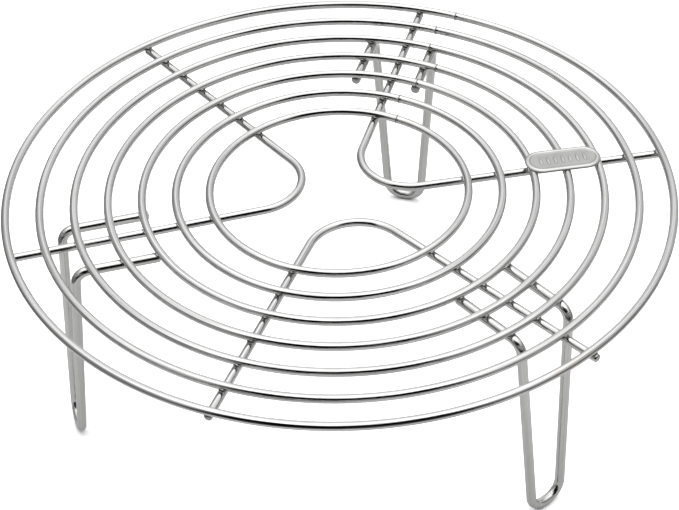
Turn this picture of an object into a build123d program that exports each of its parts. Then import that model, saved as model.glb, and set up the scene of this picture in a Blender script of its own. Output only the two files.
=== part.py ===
from build123d import *
import os
from math import cos, radians, sin, sqrt

# Round cooling rack of welded wire: seven rings lie on three V-shaped supports, three hairpin
# legs are welded under the rings, and a stamped oval plate is tacked on top of them.
# Millimetres, +Z up. The origin is on the floor, under the common centre of the rings.

# Wire and rings
wire_d = 3.0             # drawn wire, the same in every ring and support
outer_ring_d = 237.0     # outer ring, measured on the wire's centreline
ring_pitch = 12.05       # from one ring's centreline to the next
ring_seams = (66, 68, 67, 62, 64, 66, 61)  # butt weld of each ring, degrees, outer ring first
seam_proud = 0.12        # how far the ball-shaped upset of that weld stands out of the wire
rest_height = 87.5       # from the floor to the top of the rings
set_down = 0.3           # how deep two crossing wires sink into each other at a weld

# Supports: each V has two nearly radial arms, given as (direction in degrees, sideways offset
# of the arm's line from the centre, how far its end passes the outer ring's centreline)
support_arms = {
    "support_right": ((10.3, -1.6, 0.4), (74.0, -1.3, 0.7)),
    "support_left": ((128.1, 1.0, 0.5), (195.1, 0.9, 0.4)),
    "support_front": ((248.8, 0.1, 0.5), (313.7, -0.9, 2.2)),
}
support_bend_radius = 18.0
end_round = 0.7          # rounding of a cut wire end

# Legs: each hairpin's two top ends lie side by side, one each side of a support's arm
leg_wire_d = 3.5         # the legs are bent from a thicker wire
leg_spacing = 23.6       # between the two top ends
leg_bend_radius = 4.8    # where a top end turns down
leg_first_ring = 5       # innermost ring that a leg is welded to, counted from the outside
leg_last_ring = 3        # outermost ring that a leg is welded to; it turns down right after it
foot_bend_radius = 6.4   # the U bend that stands on the floor
foot_flat = 0.8          # straight bottom of the U bend
# (direction in degrees, sideways shift of its top and of its foot from that direction's line,
# how far the foot stands out past its outermost ring, how far its two ends pass its innermost ring)
leg_places = {
    "leg_back": (73.7, 0.8, 1.6, 9.8, (0.3, 0.9)),
    "leg_left": (194.8, 3.4, 3.5, 8.8, (0.2, 2.0)),
    "leg_right": (310.0, 5.1, 6.6, 8.5, (1.0, 1.0)),
}

# Label plate: an oval of sheet with a raised rim round a sunken field with a row of raised ribs
plate_overlap = 1.85     # how far its ends pass the rings on either side of the middle one
plate_width = 12.4
plate_thickness = 1.0
plate_rim_width = 1.7
plate_field_depth = 0.45
plate_set_down = 0.15    # how deep the plate is pressed onto the rings
plate_ring = 4           # the ring that passes under the plate's middle
plate_inset = 0.5        # how far the middle lies inside that ring's centreline
plate_direction = 9.0    # degrees
plate_offset = -1.0      # sideways offset of the plate's middle line from the centre
rib_count = 7
rib_pitch = 2.7
rib_length = 4.4
rib_width = 1.3
rib_height = 0.3

# Worked out from the sizes above
wire_r = wire_d / 2
ring_z = rest_height - wire_r
leg_wire_r = leg_wire_d / 2
under_z = ring_z - wire_d + set_down
leg_top_z = ring_z - wire_r - leg_wire_r + set_down
ring_count = len(ring_seams)


def ring_radius(number):
    """Centreline radius of a ring, where ring 1 is the outer one."""
    return outer_ring_d / 2 - (number - 1) * ring_pitch


def radial_plane(direction, height=0.0):
    """Plane parallel to the floor, its X axis along a direction out from the centre."""
    angle = radians(direction)
    return Plane((0, 0, height), x_dir=(cos(angle), sin(angle), 0), z_dir=(0, 0, 1))


def make_ring(number):
    """A wire ring with the bead of its butt weld."""
    radius = ring_radius(number)
    with BuildPart() as ring:
        with Locations((0, 0, ring_z)):
            Torus(radius, wire_r)
        with Locations(Plane.XY.offset(ring_z)):
            with PolarLocations(radius, 1, start_angle=ring_seams[number - 1]):
                Sphere(wire_r + seam_proud)
    return ring


def arm_point(arm, along):
    """Point on an arm's centreline, at a distance along its direction."""
    direction, offset, _ = arm
    return radial_plane(direction, under_z).from_local_coords((along, offset, 0))


def arm_end(arm):
    """The outer end of an arm's centreline, just past the outer ring's."""
    return arm_point(arm, ring_radius(1) + arm[2])


def arms_crossing(arm_a, arm_b):
    """Point where the centrelines of two arms would cross."""
    start_a, start_b = arm_point(arm_a, 0), arm_point(arm_b, 0)
    way_a, way_b = arm_point(arm_a, 1) - start_a, arm_point(arm_b, 1) - start_b
    along = (start_b - start_a).cross(way_b).Z / way_a.cross(way_b).Z
    return start_a + way_a * along


def make_support(arm_a, arm_b, rings):
    """A V of wire under the rings, with a shallow seat for each ring that it carries."""
    corners = (arm_end(arm_a), arms_crossing(arm_a, arm_b), arm_end(arm_b))
    with BuildPart() as support:
        with BuildLine() as route:
            FilletPolyline(*corners, radius=support_bend_radius)
        with BuildSketch(Plane(route.line @ 0, z_dir=route.line % 0)):
            Circle(wire_r)
        sweep()
        fillet(support.faces().filter_by(GeomType.PLANE).edges(), end_round)
        for ring in rings:
            add(ring.part, mode=Mode.SUBTRACT)
    return support


def ring_crossing(number, side):
    """Distance along a direction at which a line beside it crosses a ring's centreline."""
    return sqrt(ring_radius(number) ** 2 - side ** 2)


def make_leg(place, rings):
    """A hairpin of wire: two top ends under the rings, two uprights and a U bend as the foot."""
    direction, top_shift, foot_shift, foot_past, end_past = place
    left, right = top_shift + leg_spacing / 2, top_shift - leg_spacing / 2
    foot_reach = ring_radius(leg_last_ring) + foot_past
    foot_side = foot_bend_radius + foot_flat / 2
    with BuildPart() as leg:
        with BuildLine(radial_plane(direction)) as route:
            FilletPolyline(
                (ring_crossing(leg_first_ring, left) - end_past[0], left, leg_top_z),
                (ring_crossing(leg_last_ring, left) + leg_bend_radius, left, leg_top_z),
                (foot_reach, foot_shift + foot_side, leg_wire_r),
                (foot_reach, foot_shift - foot_side, leg_wire_r),
                (ring_crossing(leg_last_ring, right) + leg_bend_radius, right, leg_top_z),
                (ring_crossing(leg_first_ring, right) - end_past[1], right, leg_top_z),
                radius=[leg_bend_radius, foot_bend_radius, foot_bend_radius, leg_bend_radius],
            )
        with BuildSketch(Plane(route.line @ 0, z_dir=route.line % 0)):
            Circle(leg_wire_r)
        sweep()
        fillet(leg.faces().filter_by(GeomType.PLANE).edges(), end_round)
        for ring in rings[leg_last_ring - 1:leg_first_ring]:
            add(ring.part, mode=Mode.SUBTRACT)
    return leg


def make_label_plate(rings):
    """The stamped oval plate, with a shallow seat for each ring under it."""
    base = radial_plane(plate_direction, rest_height - plate_set_down)
    middle = (ring_radius(plate_ring) - plate_inset, plate_offset)
    plate_length = 2 * (ring_pitch + plate_overlap)
    field = base.offset(plate_thickness - plate_field_depth)
    with BuildPart() as plate:
        with BuildSketch(base):
            with Locations(middle):
                SlotOverall(plate_length, plate_width)
        extrude(amount=plate_thickness)
        with BuildSketch(field):
            with Locations(middle):
                SlotOverall(plate_length - 2 * plate_rim_width, plate_width - 2 * plate_rim_width)
        extrude(amount=plate_field_depth, mode=Mode.SUBTRACT)
        rim_edges = plate.faces().sort_by(Axis.Z)[-1].edges()
        fillet(rim_edges, plate_field_depth / 2)
        with BuildSketch(field):
            with Locations(middle):
                with GridLocations(rib_pitch, 0, rib_count, 1):
                    SlotOverall(rib_length, rib_width, rotation=90)
        extrude(amount=rib_height)
        for ring in rings:
            add(ring.part, mode=Mode.SUBTRACT)
    return plate


rings = [make_ring(number) for number in range(1, ring_count + 1)]
pieces = {f"ring_{number}": ring for number, ring in enumerate(rings, 1)}
for name, (arm_a, arm_b) in support_arms.items():
    pieces[name] = make_support(arm_a, arm_b, rings)
for name, place in leg_places.items():
    pieces[name] = make_leg(place, rings)
pieces["label_plate"] = make_label_plate(rings)

os.makedirs("parts", exist_ok=True)
for name, piece in pieces.items():
    piece.part.label = name
    export_step(piece.part, f"parts/{name}.step")
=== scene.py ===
# %% [markdown]
# # A round cooling rack of welded steel wire
# A baker's rack holds a cake up in the air while it cools. This one is seven rings of drawn
# stainless wire, welded onto three V-shaped supports and three hairpin legs, with a small stamped
# plate on top. The file builds it piece by piece around a fixed frame of plain CAD parts, and takes
# the rings' sizes and heights from there. All lengths are metres, +Z is up, the floor is at zero.

# %% Load the fixed frame
import math

import bmesh
import bpy
from mathutils import Matrix, Vector


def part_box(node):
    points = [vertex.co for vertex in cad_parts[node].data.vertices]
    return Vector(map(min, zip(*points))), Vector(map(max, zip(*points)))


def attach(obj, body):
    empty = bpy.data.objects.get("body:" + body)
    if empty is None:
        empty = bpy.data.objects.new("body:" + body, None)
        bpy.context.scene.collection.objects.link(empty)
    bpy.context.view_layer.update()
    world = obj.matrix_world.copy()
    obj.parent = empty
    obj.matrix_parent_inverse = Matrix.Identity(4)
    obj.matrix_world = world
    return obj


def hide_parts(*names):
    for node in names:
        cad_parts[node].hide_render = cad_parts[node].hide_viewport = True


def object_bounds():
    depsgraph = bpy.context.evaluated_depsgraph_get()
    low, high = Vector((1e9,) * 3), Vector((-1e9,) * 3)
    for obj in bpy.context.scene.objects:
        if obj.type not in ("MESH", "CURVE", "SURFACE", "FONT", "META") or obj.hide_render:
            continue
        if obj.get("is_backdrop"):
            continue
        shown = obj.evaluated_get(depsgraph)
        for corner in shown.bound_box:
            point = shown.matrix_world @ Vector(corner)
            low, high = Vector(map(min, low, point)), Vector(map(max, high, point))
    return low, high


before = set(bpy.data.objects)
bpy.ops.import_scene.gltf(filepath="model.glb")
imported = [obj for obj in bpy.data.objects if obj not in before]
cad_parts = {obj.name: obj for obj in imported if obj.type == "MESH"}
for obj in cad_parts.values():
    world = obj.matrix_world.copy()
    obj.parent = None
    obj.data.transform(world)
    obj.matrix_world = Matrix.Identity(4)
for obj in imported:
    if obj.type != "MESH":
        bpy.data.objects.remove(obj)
cad_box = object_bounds()
print("CAD nodes:", ", ".join(sorted(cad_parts)))

# %% [markdown]
# ## Sizes
# The frame already knows how big the rings are and how high they lie, so those sizes are measured
# from its boxes. Only the way the wires are bent has to be said again, as a wire bender would: the
# corners of each wire, and the radius that each corner is bent to.

# %% Measure the wire and the rings
MM = 0.001
RING_COUNT = 7
support_low, support_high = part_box("support_front")
WIRE_R = (support_high.z - support_low.z) / 2
UNDER_Z = (support_high.z + support_low.z) / 2
ring_low, ring_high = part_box("ring_1")
RING_Z = (ring_high.z + ring_low.z) / 2
RING_RADIUS = {n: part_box(f"ring_{n}")[1].x - WIRE_R for n in range(1, RING_COUNT + 1)}
RING_SEAM = {1: 66, 2: 68, 3: 67, 4: 62, 5: 64, 6: 66, 7: 61}   # degrees round the rack
SEAM_PROUD = 0.08 * MM      # how far a ring swells at its seam
SEAM_SWELL = 0.6 * MM       # and over what length
print(f"wire {WIRE_R * 2000:.2f} mm, rings {RING_Z * 1000:.1f} mm above the floor")
print("ring radii in mm:", [round(r * 1000, 1) for r in RING_RADIUS.values()])

# %% [markdown]
# Each support is one wire bent into a V whose arms run out under the rings. An arm is given by its
# direction, how far its line passes beside the centre, and how far its end passes the outer ring.
# Each leg is a hairpin of thicker wire: two ends welded under three rings, two uprights and a U
# bend as the foot.

# %% Say how the supports and the legs are bent
# For each arm: its direction in degrees, its line's place beside the centre and its end past the
# outer ring, both in mm
SUPPORT_ARMS = {
    "support_right": ((10.3, -1.6, 0.4), (74.0, -1.3, 0.7)),
    "support_left": ((128.1, 1.0, 0.5), (195.1, 0.9, 0.4)),
    "support_front": ((248.8, 0.1, 0.5), (313.7, -0.9, 2.2)),
}
SUPPORT_BEND = 18.0 * MM
CUT_END_ROUND = 0.7 * MM

LEG_WIRE_R = 1.75 * MM
LEG_TOP_Z = UNDER_Z + WIRE_R - LEG_WIRE_R
LEG_SPACING = 23.6 * MM
LEG_BEND = 4.8 * MM
FOOT_BEND = 6.4 * MM
FOOT_FLAT = 0.8 * MM
LEG_INNER_RING = 5
LEG_OUTER_RING = 3
# For each leg: its direction in degrees, and in mm the sideways shifts of its top and of its foot,
# how far the foot stands past the outer of its rings, and how far its two ends pass the inner one
LEG_PLACES = {
    "leg_back": (73.7, 0.8, 1.6, 9.8, (0.3, 0.9)),
    "leg_left": (194.8, 3.4, 3.5, 8.8, (0.2, 2.0)),
    "leg_right": (310.0, 5.1, 6.6, 8.5, (1.0, 1.0)),
}


def radial_point(degrees, out, side, height):
    """Point a way out from the centre in some direction, and a way to the left of that line."""
    angle = math.radians(degrees)
    along = Vector((math.cos(angle), math.sin(angle), 0.0))
    across = Vector((-math.sin(angle), math.cos(angle), 0.0))
    return along * out + across * side + Vector((0.0, 0.0, height))


def ring_crossing(number, side):
    """How far out a line beside a direction crosses a ring."""
    return math.sqrt(RING_RADIUS[number] ** 2 - side ** 2)


print(len(SUPPORT_ARMS), "supports and", len(LEG_PLACES), "legs to bend")

# %% [markdown]
# ## A short way to write node trees
# Every finish and every Geometry Nodes tree here is written in code. Two small classes keep that
# readable. `Signal` wraps an output socket, so that `1 - mask * 0.5` adds the Math nodes itself,
# and `Tree.add` puts in any other node with its settings first and its inputs after.

# %% Signals and trees
class Signal:
    """An output socket that can be used in sums."""

    def __init__(self, tree, socket):
        self.tree = tree
        self.socket = socket

    def math(self, operation, *others):
        node = self.tree.add("ShaderNodeMath", {"operation": operation},
                             dict(enumerate((self, *others))))
        return node.out(0)

    def __add__(self, other):
        return self.math("ADD", other)

    def __mul__(self, other):
        return self.math("MULTIPLY", other)

    def __sub__(self, other):
        return self.math("SUBTRACT", other)

    def __truediv__(self, other):
        return self.math("DIVIDE", other)

    def __rsub__(self, other):
        return (self * -1.0) + other

    __radd__ = __add__
    __rmul__ = __mul__

    def clamped(self):
        return self.math("MAXIMUM", 0.0).math("MINIMUM", 1.0)

    def ramp(self, low, high):
        """0 up to a low value, 1 from a high one, and a straight rise between."""
        return ((self - low) / (high - low)).clamped()

    def bell(self, width):
        """1 where this signal is zero, falling away smoothly over a width."""
        scaled = self / width
        return (scaled * scaled * -1.0).math("EXPONENT")


class Node:
    """A node in a tree, with its outputs as signals."""

    def __init__(self, tree, node):
        self.tree = tree
        self.node = node

    def out(self, name=0):
        return Signal(self.tree, self.node.outputs[name])


class Tree:
    """A node tree that is written one node after another."""

    def __init__(self, tree):
        self.tree = tree

    def add(self, kind, settings=None, inputs=None):
        node = self.tree.nodes.new(kind)
        for name, value in (settings or {}).items():
            setattr(node, name, value)
        for name, value in (inputs or {}).items():
            if isinstance(value, Signal):
                self.tree.links.new(value.socket, node.inputs[name])
            else:
                node.inputs[name].default_value = value
        return Node(self, node)

    def mix_colour(self, mask, first, second):
        """A Mix node's colours are its sockets 6 and 7, and its result is output 2."""
        settings = {"data_type": "RGBA", "clamp_factor": True}
        return self.add("ShaderNodeMix", settings, {0: mask, 6: first, 7: second}).out(2)


def rgb(red, green, blue):
    return (red, green, blue, 1.0)


def new_finish(name):
    """An empty material and its tree."""
    finish = bpy.data.materials.new(name)
    finish.use_nodes = True
    finish.node_tree.nodes.clear()
    return finish, Tree(finish.node_tree)


print("helpers ready")

# %% [markdown]
# ## The view
# The rack is seen from the front and above, with a long lens, so the rings are gentle ovals. The
# camera is placed as one would say it aloud: aim at a point level with the rings, go up by an
# angle, stand back, and tilt the camera a little about its own axis.

# %% Place the camera
AIM = Vector((-0.3 * MM, -36.6 * MM, RING_Z))
VIEW_ELEVATION = math.radians(40.6)
VIEW_TURN = math.radians(-0.04)
VIEW_ROLL = math.radians(-1.24)
VIEW_DISTANCE = 669.2 * MM
LENS = 103.5             # focal length in mm, for a sensor 36 mm wide
SENSOR_WIDTH = 36.0
NEAREST_SEEN = 10.0 * MM


def place_camera():
    data = bpy.data.cameras.new("camera")
    data.lens = LENS
    data.sensor_width = SENSOR_WIDTH
    data.clip_start = NEAREST_SEEN
    camera = bpy.data.objects.new("camera", data)
    bpy.context.scene.collection.objects.link(camera)
    level = math.cos(VIEW_ELEVATION)
    east, north = math.sin(VIEW_TURN) * level, math.cos(VIEW_TURN) * level
    look = Vector((east, north, -math.sin(VIEW_ELEVATION)))
    turned = look.to_track_quat("-Z", "Y").to_matrix().to_4x4()
    rolled = turned @ Matrix.Rotation(VIEW_ROLL, 4, "Z")
    camera.matrix_world = Matrix.Translation(AIM - look * VIEW_DISTANCE) @ rolled
    bpy.context.scene.camera = camera
    return camera


camera = place_camera()
print("camera at", [round(v * 1000) for v in camera.location], "mm")

# %% [markdown]
# ## Light
# Polished wire has almost no colour of its own: it shows the room. Here that is a light tent: a
# white roof, white walls behind and beside that darken towards their foot, and a dark opening in
# front, where the camera stands. The dark opening draws the black line along each wire and the
# roof draws the white one. So the world's brightness depends only on the direction looked in. What
# the camera itself sees past the floor is plain white.

# %% Make the tent
ROOF = 2.05                 # brightness overhead
SIDE_WALLS = (0.24, 0.95)   # brightness of the walls beside, at their foot and at their top
LEFT_CORNER = (0.28, 1.26)  # between the left wall and the back
RIGHT_CORNER = (0.74, 1.00)
BACK_WALL = (0.86, 1.22)    # straight behind
GROUND = 0.20               # below the horizon, past the edge of the floor board
OPENING = 0.004             # the dark opening that the camera looks in through
BACKDROP = 1.25             # what the camera sees past the floor

WALL_RISE = (5.0, 42.0)     # degrees up, from the foot of a wall to its top
ROOF_EDGE = (42.0, 68.0)    # degrees up, from the top of a wall to the roof
HORIZON = (-13.0, -5.0)     # degrees up, from the ground to the tent
OPENING_SIDE = (38.0, 50.0)  # degrees round from the front, from the opening to a side wall
OPENING_TOP = (54.0, 68.0)  # degrees up, from the opening to the roof
# Shares of a level look: how far it points back, from a side wall to a corner and from a corner to
# the back wall, and how far it points right, from the left corner to the right one
TO_CORNER = (0.10, 0.60)
TO_BACK = (0.80, 0.98)
LEFT_TO_RIGHT = (-5 / 9, 5 / 9)
DEGREES = 180.0 / math.pi


def make_tent():
    world = bpy.data.worlds.new("light_tent")
    world.use_nodes = True
    world.node_tree.nodes.clear()
    tree = Tree(world.node_tree)
    direction = tree.add("ShaderNodeTexCoord").out("Generated")
    parts = tree.add("ShaderNodeSeparateXYZ", None, {0: direction})
    right_way, back_way, up = parts.out(0), parts.out(1), parts.out(2)
    height = up.math("ARCSINE") * DEGREES
    level = (1 - up * up).math("MAXIMUM", 0.0001).math("SQRT")   # never zero, for the divisions
    rise = height.ramp(*WALL_RISE)
    tall = rise * rise
    walls = (SIDE_WALLS, LEFT_CORNER, RIGHT_CORNER, BACK_WALL)
    side, left, right, back = (foot + tall * (top - foot) for foot, top in walls)
    corner = left + (right_way / level).ramp(*LEFT_TO_RIGHT) * (right - left)
    turned = back_way / level
    wall = side + turned.ramp(*TO_CORNER) * (corner - side)
    wall = wall + turned.ramp(*TO_BACK) * (back - wall)
    lit = wall + height.ramp(*ROOF_EDGE) * (ROOF - wall)
    bearing = right_way.math("ABSOLUTE").math("ARCTAN2", back_way * -1.0) * DEGREES
    open_part = (1 - bearing.ramp(*OPENING_SIDE)) * (1 - height.ramp(*OPENING_TOP))
    tent = lit + open_part * (OPENING - lit)
    glow = height.ramp(*HORIZON) * (tent - GROUND) + GROUND
    seen = tree.add("ShaderNodeLightPath").out("Is Camera Ray")
    strength = seen * (BACKDROP - glow) + glow
    background = tree.add("ShaderNodeBackground", None, {"Color": rgb(1, 1, 1), "Strength": strength})
    tree.add("ShaderNodeOutputWorld", None, {"Surface": background.out(0)})
    bpy.context.scene.world = world


make_tent()
bpy.context.scene.view_settings.view_transform = "Standard"
print(f"light tent, {ROOF} overhead and {BACK_WALL[1]} behind")

# %% [markdown]
# The rack stands on a pale board. Its steel mirrors a plain light grey board, but the camera sees
# the board bright white, so only a trace of shadow is left under the feet.

# %% Lay the floor board
FLOOR_RADIUS = 0.27
FLOOR_MIDDLE = Vector((0.05, -0.02, 0.0))
FLOOR_SIDES = 96
FLOOR_MIRRORED = rgb(0.72, 0.72, 0.72)
FLOOR_SEEN = rgb(1.65, 1.65, 1.65)


def lay_floor():
    mesh = bpy.data.meshes.new("floor")
    board = bmesh.new()
    bmesh.ops.create_circle(board, cap_ends=True, segments=FLOOR_SIDES, radius=FLOOR_RADIUS,
                            matrix=Matrix.Translation(FLOOR_MIDDLE))
    board.to_mesh(mesh)
    board.free()
    floor = bpy.data.objects.new("floor", mesh)
    bpy.context.scene.collection.objects.link(floor)
    finish, tree = new_finish("pale_board")
    seen = tree.add("ShaderNodeLightPath").out("Is Camera Ray")
    shade = tree.mix_colour(seen, FLOOR_MIRRORED, FLOOR_SEEN)
    surface = tree.add("ShaderNodeBsdfDiffuse", None, {"Color": shade})
    tree.add("ShaderNodeOutputMaterial", None, {"Surface": surface.out(0)})
    mesh.materials.append(finish)
    floor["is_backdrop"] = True


lay_floor()
print(f"a pale board {FLOOR_RADIUS * 2:.2f} m across")

# %% [markdown]
# ## Drawn steel
# The wire is pulled through a die, which leaves fine scratches along its length. A pattern can only
# follow a bent wire if the wire carries its own measure, so every wire stores three values at each
# point: `along`, the distance from its first end, `around`, the place on its round section, and
# `end_gap`, how far the nearest end is. Two more, `weld_gap` and `mark_gap`, give the distance to
# the nearest weld and to the nearest heat mark. A long thin noise in `around` and `along` makes the
# draw marks. Heat leaves a dull spot at each weld, which is also painted darker as the shade where the
# wires cross, and, in two places, a faint straw tint.

# %% Helpers for steel
def noise(tree, place, scale, detail, **others):
    inputs = {"Vector": place, "Scale": scale, "Detail": detail, **others}
    return tree.add("ShaderNodeTexNoise", None, inputs).out(0)


def attribute(tree, name, output="Fac"):
    return tree.add("ShaderNodeAttribute", {"attribute_name": name}).out(output)


def steel_output(tree, colour, rough, relief, strength, depth):
    """Ends a steel finish. The last three are the relief's height, strength and depth."""
    bump = tree.add("ShaderNodeBump", None, {"Strength": strength, "Distance": depth, "Height": relief})
    surface = tree.add("ShaderNodeBsdfPrincipled", None, {
        "Base Color": colour,
        "Metallic": 1.0,
        "Roughness": rough,
        "Normal": bump.out(0),
    })
    tree.add("ShaderNodeOutputMaterial", None, {"Surface": surface.out(0)})


print("steel helpers ready")

# %% [markdown]
# The three kinds of wire share one recipe. The legs are a little duller than the rings, with weaker
# draw marks, and only a ring has a seam that shows as a dark line.

# %% Make the finishes of the wire
SEAM_LINE = 0.24 * MM      # reach of the dark line at a ring's seam
WELD_SHADE = 1.1 * MM      # reach of the dull spot round a weld
TINT_REACH = 3.2 * MM      # reach of a straw tint
DRAW_MARKS = (3.4, 0.005)  # how fine they are round the wire, and how much each mm along it counts
HAIRLINES = (20.0, 0.02)
CLOUD_SCALE = 90.0         # a slow change of shade all over
STRAW = rgb(0.50, 0.39, 0.25)
# The dark colour for seams, cut ends and welds; round a weld it is partly heat, partly painted shade
SCORCH_AND_SHADE = rgb(0.05, 0.048, 0.045)
RELIEF_DEPTH = 0.12 * MM


def lengthwise(tree, fine, stretch):
    """Noise that is fine round the wire and drawn out along it."""
    around = tree.add("ShaderNodeSeparateXYZ", None, {0: attribute(tree, "around", "Vector")})
    along = attribute(tree, "along") * (stretch / MM)
    spot = tree.add("ShaderNodeCombineXYZ", None, {0: around.out(0), 1: around.out(1), 2: along})
    return noise(tree, spot.out(0), fine, 3.0, Roughness=0.6)


def drawn_steel(name, tone, base_rough, streak_rough, streak_shade, seam_shade):
    """Bright drawn wire. The last four say how rough it is all over, how much the draw marks add
    to that and to the shade, and how strongly a cut end or a seam is darkened."""
    finish, tree = new_finish(name)
    draw_marks = lengthwise(tree, *DRAW_MARKS)
    hairlines = lengthwise(tree, *HAIRLINES)
    place = tree.add("ShaderNodeTexCoord").out("Object")
    cloud = noise(tree, place, CLOUD_SCALE, 2.0, Roughness=0.5)
    # Round each weld the wire is dulled by heat and painted darker as the shade where the wires cross
    weld = (attribute(tree, "weld_gap").bell(WELD_SHADE) * 1.3).clamped()
    tint = attribute(tree, "mark_gap").bell(TINT_REACH) * (cloud * 1.6).clamped()
    seam = attribute(tree, "end_gap").bell(SEAM_LINE) * seam_shade
    shade = (draw_marks - 0.5) * streak_shade + hairlines * 0.40 + cloud * 0.08 + 0.75
    grey = tree.add("ShaderNodeCombineColor", None, {
        channel: shade * share for channel, share in enumerate(tone)
    }).out(0)
    tinted = tree.mix_colour(tint * 0.25, grey, STRAW)
    # Painted shade: the weld spots are darkened where the wires cross, together with the seams and cut
    # ends
    darkened = tree.mix_colour((weld * 0.9 + seam * 0.95).clamped(), tinted, SCORCH_AND_SHADE)
    streaks = draw_marks * streak_rough + hairlines * (streak_rough * 0.5)
    rough = (streaks + base_rough + weld * 0.25 + seam * 0.3).clamped()
    relief = draw_marks * 0.8 + hairlines * 0.05 - seam * 0.4
    steel_output(tree, darkened, rough, relief, 0.6, RELIEF_DEPTH)
    return finish


ring_steel = drawn_steel("ring_steel", (0.60, 0.60, 0.595), 0.03, 0.06, 1.4, 1.0)
support_steel = drawn_steel("support_steel", (0.61, 0.61, 0.605), 0.03, 0.05, 1.4, 0.35)
leg_steel = drawn_steel("leg_steel", (0.61, 0.61, 0.60), 0.07, 0.10, 0.8, 0.35)
print("finishes:", ring_steel.name, support_steel.name, leg_steel.name)

# %% [markdown]
# ## Where the wires are welded
# A ring lies across a wire below it, and the two are squeezed together under current until they
# fuse at one spot. Those spots follow from the rings' radii and the lines of the wires below. Both
# the wire finish and the little collars of squeezed metal need them, so they are worked out once.

# %% List the weld spots
CONTACT_Z = (RING_Z + UNDER_Z) / 2


def loose_points(name, points, edges=(), bends=None):
    """A mesh of points, with the bend radius of each as an attribute where it is given."""
    mesh = bpy.data.meshes.new(name)
    mesh.from_pydata([tuple(p) for p in points], list(edges), [])
    if bends is not None:
        radii = mesh.attributes.new("bend", "FLOAT", "POINT")
        radii.data.foreach_set("value", list(bends))
    thing = bpy.data.objects.new(name, mesh)
    bpy.context.scene.collection.objects.link(thing)
    return thing


def welds_along(degrees, side, numbers):
    """The spots at which a line beside a direction passes under some rings."""
    return [radial_point(degrees, ring_crossing(n, side), side, CONTACT_Z) for n in numbers]


def list_welds():
    spots = []
    for arms in SUPPORT_ARMS.values():
        for degrees, side, _ in arms:
            spots += welds_along(degrees, side * MM, RING_RADIUS)
    for degrees, top_shift, *_ in LEG_PLACES.values():
        for half in (LEG_SPACING / 2, -LEG_SPACING / 2):
            leg_rings = range(LEG_OUTER_RING, LEG_INNER_RING + 1)
            spots += welds_along(degrees, top_shift * MM + half, leg_rings)
    return spots


weld_spots = list_welds()
weld_points = loose_points("weld_points", weld_spots)
HEAT_MARKS = ((1, 305.0), (1, 308.0), (1, 311.0), (7, 54.5))   # ring and direction of each tint
mark_spots = [radial_point(degrees, RING_RADIUS[n], 0.0, RING_Z) for n, degrees in HEAT_MARKS]
mark_points = loose_points("mark_points", mark_spots)
print(len(weld_spots), "weld spots and", len(HEAT_MARKS), "heat marks")

# %% [markdown]
# ## Starting and ending a Geometry Nodes tree
# The wires, the weld collars and the plate's ribs each have a tree. All of them start with named
# inputs for their sizes and end with real faces, smooth and painted, so that is said only once.

# %% Start and end a tree
def add_input(group, name, kind, value=None):
    socket = group.interface.new_socket(name=name, in_out="INPUT", socket_type=kind)
    if value is not None:
        socket.default_value = value


def new_group(name, inputs, output):
    """An empty tree for a modifier, with its named inputs and its one output."""
    group = bpy.data.node_groups.new(name, "GeometryNodeTree")
    group.is_modifier = True
    for socket in inputs:
        add_input(group, *socket)
    group.interface.new_socket(name=output, in_out="OUTPUT", socket_type="NodeSocketGeometry")
    tree = Tree(group)
    return group, tree, tree.add("NodeGroupInput")


def end_tree(tree, shape, finish):
    """Every tree ends the same way: real, smooth and painted."""
    real = tree.add("GeometryNodeRealizeInstances", None, {0: shape}).out(0)
    smooth = tree.add("GeometryNodeSetShadeSmooth", None, {0: real}).out(0)
    painted = tree.add("GeometryNodeSetMaterial", None, {0: smooth, "Material": finish}).out(0)
    tree.add("NodeGroupOutput", None, {0: painted})


print("tree helpers ready")

# %% [markdown]
# ## A wire bender in Geometry Nodes
# All thirteen wires are made the same way, so one tree makes them all. It takes the corners of a
# wire, rounds each to its own bend radius (Fillet Curve), and walks along that route with small
# steps near the ends and longer ones between (Sample Curve). A ring is only a square whose four
# corners are bent to the ring's own radius. The same could be done with a bevelled curve object,
# but then the wire would not carry its own measures.

# %% Walk along a bent route
CROWDING = 0.9       # how much the steps crowd towards the wire's ends, from 0, evenly, to 1


def store(tree, shape, name, value, kind="FLOAT"):
    settings = {"data_type": kind, "domain": "POINT"}
    inputs = {0: shape, "Name": name, "Value": value}
    return tree.add("GeometryNodeStoreNamedAttribute", settings, inputs).out(0)


def walk_route(tree, given):
    """The bent route in steps that carry their own measures, and their gap to the nearest end."""
    line = tree.add("GeometryNodeMeshToCurve", None, {0: given.out("Corners")}).out(0)
    bend = tree.add("GeometryNodeInputNamedAttribute", {"data_type": "FLOAT"}, {"Name": "bend"}).out(0)
    route = tree.add("GeometryNodeFilletCurve", {"mode": "POLY"}, {
        "Curve": line, "Count": given.out("Bend Steps"), "Radius": bend,
    }).out(0)
    total = tree.add("GeometryNodeCurveLength", None, {0: route}).out(0)
    steps = tree.add("GeometryNodeResampleCurve", {"mode": "COUNT"}, {
        "Curve": route, "Count": given.out("Length Steps"),
    }).out(0)
    share = tree.add("GeometryNodeSplineParameter").out("Factor")
    turn = 2 * math.pi
    crowd = (share * turn).math("SINE") * (CROWDING / turn)
    sample = tree.add("GeometryNodeSampleCurve", {"mode": "LENGTH"}, {
        "Curves": route, "Length": (share - crowd) * total,
    })
    spaced = tree.add("GeometryNodeSetPosition", None, {0: steps, "Position": sample.out("Position")})
    measure = tree.add("GeometryNodeSplineParameter").out("Length")
    end_gap = measure.math("MINIMUM", total - measure).math("MAXIMUM", 0.0)
    marked = store(tree, spaced.out(0), "along", measure)
    return store(tree, marked, "end_gap", end_gap), end_gap


print(f"steps near a wire's end are {1 - CROWDING:.1f} of the usual length")

# %% [markdown]
# Then a round section is swept along the route. Its size changes near an end: a cut end is rounded
# over, and a ring's seam bulges a little. Last, every point of the wire measures how far it is from
# the welds and the heat marks.

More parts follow.
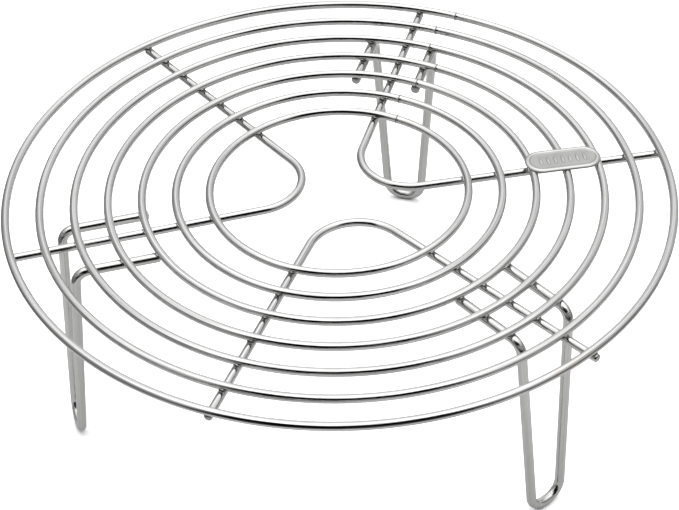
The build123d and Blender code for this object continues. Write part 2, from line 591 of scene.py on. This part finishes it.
# %% Build the wire tree
def sweep_section(tree, given, route, end_gap):
    """A round section swept along the route: smaller at a cut end, larger at a ring's seam."""
    near = (1 - end_gap / given.out("End Round")).clamped()
    rounded = given.out("End Round") * (1 - (1 - near * near).math("SQRT"))
    bulge = given.out("Seam Proud") * end_gap.bell(SEAM_SWELL)
    circle = tree.add("GeometryNodeCurvePrimitiveCircle", {"mode": "RADIUS"}, {
        "Resolution": given.out("Round Steps"), "Radius": 1.0,
    }).out(0)
    spot = tree.add("GeometryNodeInputPosition").out(0)
    return tree.add("GeometryNodeCurveToMesh", None, {
        "Curve": route,
        "Profile Curve": store(tree, circle, "around", spot, "FLOAT_VECTOR"),
        "Scale": given.out("Wire Radius") - rounded + bulge,
        "Fill Caps": True,
    }).out(0)


def build_wire_tree():
    group, tree, given = new_group("bent_wire", (
        ("Corners", "NodeSocketGeometry"),
        ("Wire Radius", "NodeSocketFloat", WIRE_R),
        ("Bend Steps", "NodeSocketInt", 32),
        ("Length Steps", "NodeSocketInt", 200),
        ("Round Steps", "NodeSocketInt", 20),
        ("End Round", "NodeSocketFloat", 0.0),
        ("Seam Proud", "NodeSocketFloat", 0.0),
        ("Welds", "NodeSocketObject"),
        ("Marks", "NodeSocketObject"),
        ("Finish", "NodeSocketMaterial"),
    ), "Wire")
    route, end_gap = walk_route(tree, given)
    swept = sweep_section(tree, given, route, end_gap)
    for source, name in (("Welds", "weld_gap"), ("Marks", "mark_gap")):
        points = tree.add("GeometryNodeObjectInfo", None, {"Object": given.out(source)}).out("Geometry")
        gap = tree.add("GeometryNodeProximity", {"target_element": "POINTS"}, {"Geometry": points})
        swept = store(tree, swept, name, gap.out("Distance"))
    end_tree(tree, swept, given.out("Finish"))
    return group


wire_tree = build_wire_tree()
print("wire tree with", len(wire_tree.nodes), "nodes")

# %% [markdown]
# A modifier's inputs are set by each socket's identifier, because two sockets may share a name. The
# result is then turned into a plain mesh, so nothing depends on the tree afterwards.

# %% Run a tree on a shape and keep the plain mesh
def run_tree(group, shape, name, values):
    modifier = shape.modifiers.new("nodes", "NODES")
    modifier.node_group = group
    for item in group.interface.items_tree:
        if item.item_type == "SOCKET" and item.in_out == "INPUT" and item.name in values:
            modifier[item.identifier] = values[item.name]
    shape.update_tag()
    bpy.context.view_layer.update()
    depsgraph = bpy.context.evaluated_depsgraph_get()
    mesh = bpy.data.meshes.new_from_object(shape.evaluated_get(depsgraph), depsgraph=depsgraph)
    mesh.name = name
    bpy.data.objects.remove(shape)
    piece = bpy.data.objects.new(name, mesh)
    bpy.context.scene.collection.objects.link(piece)
    return piece


print("ready to run a tree")

# %% [markdown]
# A swept ring still has two flat ends that touch at its seam. They are taken out and the two edges
# joined, so the ring is one closed skin. Every piece then prints its volume, which is above zero
# when its faces point outwards, and its open edges, which are none when it is closed.

# %% Close a ring, measure a piece, bend a wire
SEAM_GAP = 0.05 * MM    # points nearer than this at a ring's seam are joined


def weld_ends(piece):
    """Drops the two flat ends at a ring's seam and joins the points that meet there."""
    shape = bmesh.new()
    shape.from_mesh(piece.data)
    caps = [face for face in shape.faces if len(face.verts) > 4]
    bmesh.ops.delete(shape, geom=caps, context="FACES_ONLY")
    bmesh.ops.remove_doubles(shape, verts=shape.verts, dist=SEAM_GAP)
    bmesh.ops.recalc_face_normals(shape, faces=shape.faces)
    shape.to_mesh(piece.data)
    shape.free()


def report(piece):
    """Prints how big a piece is and whether it is closed with its faces outwards."""
    shape = bmesh.new()
    shape.from_mesh(piece.data)
    volume = shape.calc_volume(signed=True) / MM ** 3
    open_edges = sum(1 for edge in shape.edges if not edge.is_manifold)
    triangles = sum(len(face.verts) - 2 for face in shape.faces)
    shape.free()
    print(f"{piece.name}: {triangles} triangles, {volume:.0f} mm3, {open_edges} open edges")


def bent_wire(name, corners, bends, finish, sizes):
    """Bends one wire, closes it if it has a seam, and sets it on the rack's body."""
    edges = [(n, n + 1) for n in range(len(corners) - 1)]
    shape = loose_points(name + "_corners", corners, edges, bends)
    piece = run_tree(wire_tree, shape, name, {
        "Welds": weld_points, "Marks": mark_points, "Finish": finish, **sizes,
    })
    if "Seam Proud" in sizes:
        weld_ends(piece)
    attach(piece, "root")
    report(piece)
    return piece


print("ready to bend wire")

# %% [markdown]
# ## The rings
# Each ring starts and ends at its own weld seam, so the corners are turned to that direction first.

# %% Bend the rings
RING_STEP = 1.6 * MM    # from one step to the next round a ring
RING_BEND_STEPS = 256


def bend_ring(number):
    radius = RING_RADIUS[number]
    turn = RING_SEAM[number]
    square = ((1, 0), (1, 1), (-1, 1), (-1, -1), (1, -1), (1, 0))
    corners = [radial_point(turn, x * radius, y * radius, RING_Z) for x, y in square]
    bends = [0.0] + [radius] * 4 + [0.0]
    piece = bent_wire(f"ring_wire_{number}", corners, bends, ring_steel, {
        "Bend Steps": RING_BEND_STEPS,
        "Length Steps": round(radius * 2 * math.pi / RING_STEP),
        "Seam Proud": SEAM_PROUD,
    })
    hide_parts(f"ring_{number}")


for number in RING_RADIUS:
    bend_ring(number)

# %% [markdown]
# ## The V supports
# Each support has one bend, where the lines of its two arms would cross.

# %% Bend the supports
def arms_crossing(arm_a, arm_b):
    """Point where the lines of two arms would cross."""
    start_a, start_b = (radial_point(d, 0.0, side * MM, UNDER_Z) for d, side, _ in (arm_a, arm_b))
    way_a, way_b = (radial_point(d, 1.0, 0.0, 0.0) for d, _, _ in (arm_a, arm_b))
    share = (start_b - start_a).cross(way_b).z / way_a.cross(way_b).z
    return start_a + way_a * share


def bend_support(name, arm_a, arm_b):
    end_a, end_b = (
        radial_point(degrees, RING_RADIUS[1] + past * MM, side * MM, UNDER_Z)
        for degrees, side, past in (arm_a, arm_b)
    )
    corners = [end_a, arms_crossing(arm_a, arm_b), end_b]
    bends = [0.0, SUPPORT_BEND, 0.0]
    piece = bent_wire(name + "_wire", corners, bends, support_steel, {
        "Bend Steps": 48,
        "Length Steps": 300,
        "End Round": CUT_END_ROUND,
    })
    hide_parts(name)


for name, (arm_a, arm_b) in SUPPORT_ARMS.items():
    bend_support(name, arm_a, arm_b)

# %% [markdown]
# ## The hairpin legs
# A leg is one wire too: a short run under the rings, a tight bend down, a long upright, the U of the
# foot, and back up the same way.

# %% Bend the legs
def bend_leg(name, degrees, top_shift, foot_shift, foot_past, end_past):
    foot_out = RING_RADIUS[LEG_OUTER_RING] + foot_past * MM
    foot_side = FOOT_BEND + FOOT_FLAT / 2
    corners = []
    for sign, past in zip((1, -1), end_past):
        side = top_shift * MM + sign * LEG_SPACING / 2
        start = radial_point(degrees, ring_crossing(LEG_INNER_RING, side) - past * MM, side, LEG_TOP_Z)
        bend = radial_point(degrees, ring_crossing(LEG_OUTER_RING, side) + LEG_BEND, side, LEG_TOP_Z)
        foot = radial_point(degrees, foot_out, foot_shift * MM + sign * foot_side, LEG_WIRE_R)
        corners.append([start, bend, foot])
    corners = corners[0] + corners[1][::-1]
    bends = [0.0, LEG_BEND, FOOT_BEND, FOOT_BEND, LEG_BEND, 0.0]
    piece = bent_wire(name + "_wire", corners, bends, leg_steel, {
        "Wire Radius": LEG_WIRE_R,
        "Bend Steps": 24,
        "Length Steps": 420,
        "End Round": CUT_END_ROUND,
    })
    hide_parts(name)


for name, place in LEG_PLACES.items():
    bend_leg(name, *place)

# %% [markdown]
# ## Weld collars
# Where two wires are squeezed together hot, a little metal is pushed out round the spot. It has been
# molten, so it is duller than the drawn wire, and it is painted darker as the shade where the two
# wires cross. It has a finish of its own.

# %% Make the finish of weld metal, darkened as painted shade
def weld_metal_and_shade():
    """Steel that has been molten: duller and slightly pitted, and painted darker as the shade where two
    wires cross.
    """
    finish, tree = new_finish("weld_metal_and_shade")
    place = tree.add("ShaderNodeTexCoord").out("Object")
    pits = noise(tree, place, 2200.0, 3.0)
    heat = noise(tree, place, 400.0, 1.0)
    # Both colours are dark partly from heat and partly as painted shade of the crossing
    colour = tree.mix_colour(heat.ramp(0.3, 0.8), rgb(0.10, 0.095, 0.09), rgb(0.20, 0.17, 0.14))
    steel_output(tree, colour, pits * 0.3 + 0.25, pits, 0.5, 0.05 * MM)
    return finish


weld_and_shade_finish = weld_metal_and_shade()
print("finish:", weld_and_shade_finish.name)

# %% [markdown]
# Sixty small flattened beads are the same shape in many places, which is what instances are for:
# one bead is put on every weld point with a slightly different turn and size, from a fixed seed.

# %% Put a collar on every weld
COLLAR_RADIUS = 1.45 * MM
COLLAR_HEIGHT = 0.42 * MM
COLLAR_SWELL = (0.88, 1.1)    # the size of the smallest and of the largest of them
COLLAR_OVAL = 0.92            # their width one way for each unit of the other way
COLLAR_SEED = 4


def random_value(tree, low, high, seed):
    """A Random Value node's plain numbers are its sockets 2 and 3, and its result is output 1."""
    settings = {"data_type": "FLOAT"}
    return tree.add("FunctionNodeRandomValue", settings, {2: low, 3: high, "Seed": seed}).out(1)


def scatter(tree, points, shape, turn, size):
    """A copy of a shape on every point, turned about the upright axis."""
    angles = tree.add("ShaderNodeCombineXYZ", None, {2: turn}).out(0)
    scale = tree.add("ShaderNodeCombineXYZ", None, dict(enumerate(size))).out(0)
    return tree.add("GeometryNodeInstanceOnPoints", None, {
        "Points": points, "Instance": shape, "Rotation": angles, "Scale": scale,
    }).out(0)


def build_collar_tree():
    group, tree, given = new_group("weld_collars", (
        ("Welds", "NodeSocketGeometry"),
        ("Radius", "NodeSocketFloat", COLLAR_RADIUS),
        ("Height", "NodeSocketFloat", COLLAR_HEIGHT),
        ("Seed", "NodeSocketInt", COLLAR_SEED),
        ("Finish", "NodeSocketMaterial"),
    ), "Collars")
    bead = tree.add("GeometryNodeMeshUVSphere", None, {"Segments": 16, "Rings": 8, "Radius": 1.0}).out(0)
    turn = random_value(tree, 0.0, math.pi, given.out("Seed"))
    swell = random_value(tree, *COLLAR_SWELL, given.out("Seed") + 1)
    wide = given.out("Radius") * swell
    size = (wide, wide * COLLAR_OVAL, given.out("Height") * swell)
    placed = scatter(tree, given.out("Welds"), bead, turn, size)
    end_tree(tree, placed, given.out("Finish"))
    return group


collar_shape = loose_points("collar_points", weld_spots)
collars = run_tree(build_collar_tree(), collar_shape, "weld_collars", {"Finish": weld_and_shade_finish})
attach(collars, "root")
report(collars)

# %% [markdown]
# ## The stamped plate
# The plate is an oval of sheet pressed between dies: its edge rolls up into a soft rim, the field
# inside is sunk, and a row of short ribs is raised in it. It is made as nested ovals, like the
# contour lines of a dish: each oval lies a little further in, at the height the section gives.

# %% Draw the plate's outline and section
PLATE_DIRECTION = 9.0                    # degrees
PLATE_OUT = RING_RADIUS[4] - 0.5 * MM    # its middle lies just inside ring 4
PLATE_SIDE = -1.0 * MM
PLATE_LENGTH = 27.8 * MM                 # from just past ring 3 to just past ring 5
PLATE_WIDTH = 12.4 * MM
plate_low, plate_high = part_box("label_plate")
PLATE_BASE = plate_low.z
PLATE_TOP = plate_high.z
OVAL_STEPS = 96      # points round each contour
# How far in from the edge each contour lies, and how high above the plate's back, in mm
PLATE_SECTION = (
    (0.25, 0.00), (0.06, 0.06), (0.00, 0.22), (0.02, 0.42), (0.14, 0.60), (0.36, 0.75), (0.66, 0.88),
    (0.95, 0.96), (1.20, 0.99), (1.42, 0.95), (1.60, 0.85), (1.76, 0.72), (1.92, 0.61), (2.12, 0.555),
    (2.40, 0.55), (3.20, 0.55), (4.20, 0.55), (5.20, 0.55),
)


def oval_point(share, inset):
    """Point on the plate's outline, moved inwards; share goes from 0 to 1 round it. The outline
    is two straight sides and two half circles, each a quarter of the way round."""
    radius = PLATE_WIDTH / 2
    half = PLATE_LENGTH / 2 - radius
    quarter = share * 4 % 1
    side = int(share * 4) % 4
    if side in (0, 2):
        x = half - quarter * 2 * half
        y = radius - inset
    else:
        angle = math.pi * (0.5 + quarter)
        x = -half + math.cos(angle) * (radius - inset)
        y = math.sin(angle) * (radius - inset)
    flip = 1 if side in (0, 1) else -1
    return x * flip, y * flip


def plate_place(x, y, height):
    return radial_point(PLATE_DIRECTION, PLATE_OUT + x, PLATE_SIDE + y, PLATE_BASE + height)


print(f"plate {PLATE_LENGTH / MM:.1f} by {PLATE_WIDTH / MM:.1f} mm, {len(PLATE_SECTION)} contours")

# %% [markdown]
# The sheet is matt where the die pressed it, and shines a little where the rim is rubbed.

# %% Make the finish of the sheet
def satin_sheet():
    """Sheet steel with a fine matt grain from the die, brighter where the rim is rubbed."""
    finish, tree = new_finish("satin_sheet")
    place = tree.add("ShaderNodeTexCoord").out("Object")
    grain = noise(tree, place, 1800.0, 4.0)
    patch = noise(tree, place, 160.0, 2.0)
    height = tree.add("ShaderNodeSeparateXYZ", None, {0: place}).out(2)
    rubbed = height.ramp(PLATE_TOP - 0.3 * MM, PLATE_TOP - 0.05 * MM)
    worn = (patch * 0.5 + rubbed * 0.6).clamped()
    colour = tree.mix_colour(worn, rgb(0.37, 0.37, 0.36), rgb(0.60, 0.60, 0.59))
    steel_output(tree, colour, grain * 0.2 + 0.34 - rubbed * 0.14, grain, 0.3, 0.03 * MM)
    return finish


sheet_finish = satin_sheet()
print("finish:", sheet_finish.name)

# %% [markdown]
# Neighbouring contours are joined by a band of faces, and the back and the field are closed.

# %% Press the plate
def press_plate():
    shape = bmesh.new()
    contours = []
    for inset, height in PLATE_SECTION:
        points = [oval_point(n / OVAL_STEPS, inset * MM) for n in range(OVAL_STEPS)]
        contours.append([shape.verts.new(plate_place(x, y, height * MM)) for x, y in points])
    for outer, inner in zip(contours, contours[1:]):
        for n in range(OVAL_STEPS):
            after = (n + 1) % OVAL_STEPS
            shape.faces.new((outer[n], outer[after], inner[after], inner[n]))
    shape.faces.new(contours[0][::-1])
    shape.faces.new(contours[-1])
    bmesh.ops.recalc_face_normals(shape, faces=shape.faces)
    for face in shape.faces:
        face.smooth = len(face.verts) == 4
    mesh = bpy.data.meshes.new("stamped_plate")
    shape.to_mesh(mesh)
    shape.free()
    plate = bpy.data.objects.new("stamped_plate", mesh)
    bpy.context.scene.collection.objects.link(plate)
    return plate


plate = press_plate()
plate.data.materials.append(sheet_finish)
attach(plate, "root")
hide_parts("label_plate")
report(plate)

# %% [markdown]
# The ribs are one row of the same soft shape, so Geometry Nodes repeat it along a line of points.

# %% Raise the ribs
RIB_COUNT = 7
RIB_PITCH = 2.7 * MM
RIB_LENGTH = 4.4 * MM
RIB_WIDTH = 1.3 * MM
FIELD_HEIGHT = 0.55 * MM
RIB_RISE = 0.3 * MM


def build_rib_tree():
    group, tree, given = new_group("plate_ribs", (
        ("Places", "NodeSocketGeometry"),
        ("Turn", "NodeSocketFloat", 0.0),
        ("Width", "NodeSocketFloat", RIB_WIDTH),
        ("Length", "NodeSocketFloat", RIB_LENGTH),
        ("Rise", "NodeSocketFloat", RIB_RISE),
        ("Finish", "NodeSocketMaterial"),
    ), "Ribs")
    dome = tree.add("GeometryNodeMeshUVSphere", None, {"Segments": 24, "Rings": 12, "Radius": 1.0}).out(0)
    size = (given.out("Width") * 0.5, given.out("Length") * 0.5, given.out("Rise"))
    placed = scatter(tree, given.out("Places"), dome, given.out("Turn"), size)
    end_tree(tree, placed, given.out("Finish"))
    return group


rib_middle = (RIB_COUNT - 1) / 2
rib_spots = [plate_place((n - rib_middle) * RIB_PITCH, 0.0, FIELD_HEIGHT) for n in range(RIB_COUNT)]
rib_shape = loose_points("rib_points", rib_spots)
ribs = run_tree(build_rib_tree(), rib_shape, "plate_ribs", {
    "Turn": math.radians(PLATE_DIRECTION), "Finish": sheet_finish,
})
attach(ribs, "root")
report(ribs)

# %% [markdown]
# ## Clearing up
# The points that only guided the trees are removed, and the two boxes are printed, so that the
# finished rack can be held against its CAD model.

# %% Clear up, print the sizes and finish
for helper in (weld_points, mark_points):
    bpy.data.objects.remove(helper)
visual_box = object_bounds()
boxes = {"cad": [list(corner) for corner in cad_box], "visual": [list(corner) for corner in visual_box]}
for key, corners in boxes.items():
    print(key, "box in mm:", [[round(v / MM, 2) for v in corner] for corner in corners])
